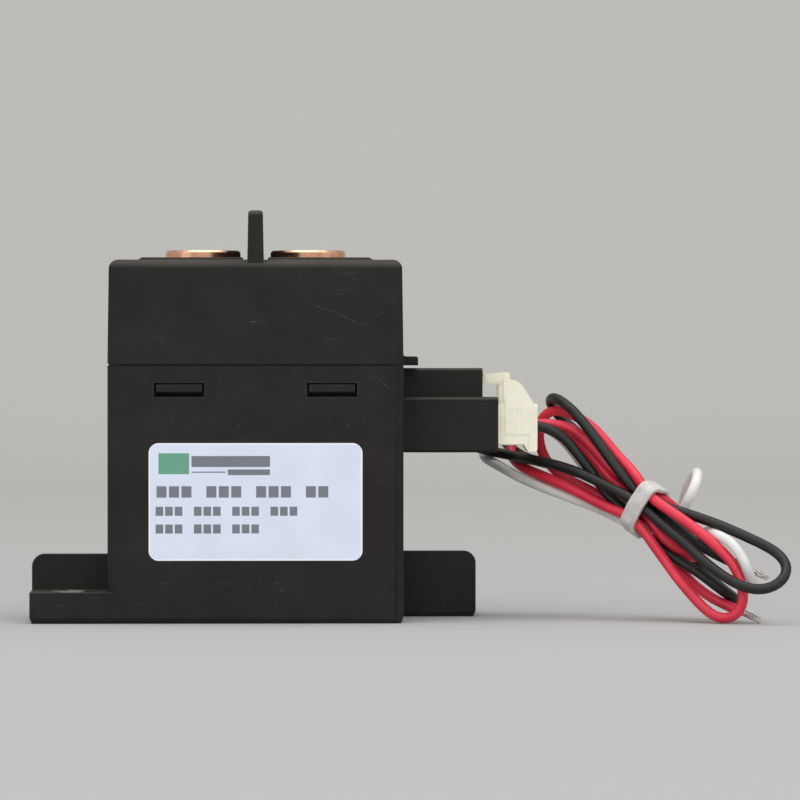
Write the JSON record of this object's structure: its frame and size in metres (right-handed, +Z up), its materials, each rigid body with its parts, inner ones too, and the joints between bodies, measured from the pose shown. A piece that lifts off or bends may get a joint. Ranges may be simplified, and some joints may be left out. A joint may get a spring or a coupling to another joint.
{
  "type": "high voltage dc contactor",
  "caption": "Sealed dc contactor: black moulded housing with mounting ears, threaded copper terminals either side of a barrier fin, and a plugged lead set tied in a hank.",
  "frame": {"origin": "middle of the base plane, half way between the two mounting holes", "axes": "+Z up from the base to the terminals, +X towards the connector, -Y towards the label"},
  "size_m": [0.161, 0.0583, 0.0865],
  "materials": {
    "black_moulding": "fine matte texture",
    "label_film": "satin film",
    "copper": "turned",
    "steel": "turned",
    "zinc_plate": "plated",
    "spring_wire": "drawn",
    "dark_plastic": "matte",
    "enamelled_wire": "gloss enamel",
    "rubber": "matte",
    "ceramic": "fired",
    "ferrite": "ground",
    "tinned_brass": "tinned",
    "cream_nylon": "satin",
    "red_insulation": "satin",
    "black_insulation": "satin",
    "white_insulation": "satin",
    "white_nylon": "satin"
  },
  "bodies": {
    "housing": {"base_housing": "black_moulding", "top_cover": "black_moulding", "mount_bush_left": "zinc_plate", "mount_bush_right": "zinc_plate", "rating_label": "label_film", "terminal_left": "copper", "terminal_right": "copper", "terminal_seal_left": "steel", "terminal_seal_right": "steel", "yoke_frame": "zinc_plate", "yoke_plate": "zinc_plate", "coil_bobbin": "dark_plastic", "coil_winding": "enamelled_wire", "coil_leads": "enamelled_wire", "core_sleeve": "steel", "core_bumper": "rubber", "fixed_core": "steel", "return_spring": "spring_wire", "arc_chamber": "ceramic", "arc_shield": "dark_plastic", "seal_frame": "steel", "magnet_front": "ferrite", "magnet_rear": "ferrite", "flux_plate_front": "zinc_plate", "flux_plate_rear": "zinc_plate", "fill_tube": "copper", "socket_pins": "tinned_brass", "plug_housing": "cream_nylon", "plug_terminals": "tinned_brass", "lead_red": "red_insulation", "lead_black": "black_insulation", "lead_white": "white_insulation", "lead_hank": "red_insulation", "cable_tie": "white_nylon"},
    "plunger": {"moving_core": "steel", "plunger_shaft": "steel", "spring_seat": "steel", "bridge_clip": "steel", "contact_spring": "spring_wire"},
    "bridge": {"contact_bridge": "copper"}
  },
  "joints": [
    {"name": "core_slide", "type": "slide", "parent": "housing", "child": "plunger", "axis": [0, 0, 1], "range_m": [0, 0.0023], "stiffness_N_per_m": 900, "springref_m": -0.004, "deforming": ["return_spring"]},
    {"name": "bridge_slide", "type": "slide", "parent": "plunger", "child": "bridge", "axis": [0, 0, 1], "range_m": [-0.00056, 0], "deforming": ["contact_spring"]}
  ],
  "couplings": [
    {"joint": "bridge_slide", "follows": "core_slide", "ratio": -0.23913}
  ]
}
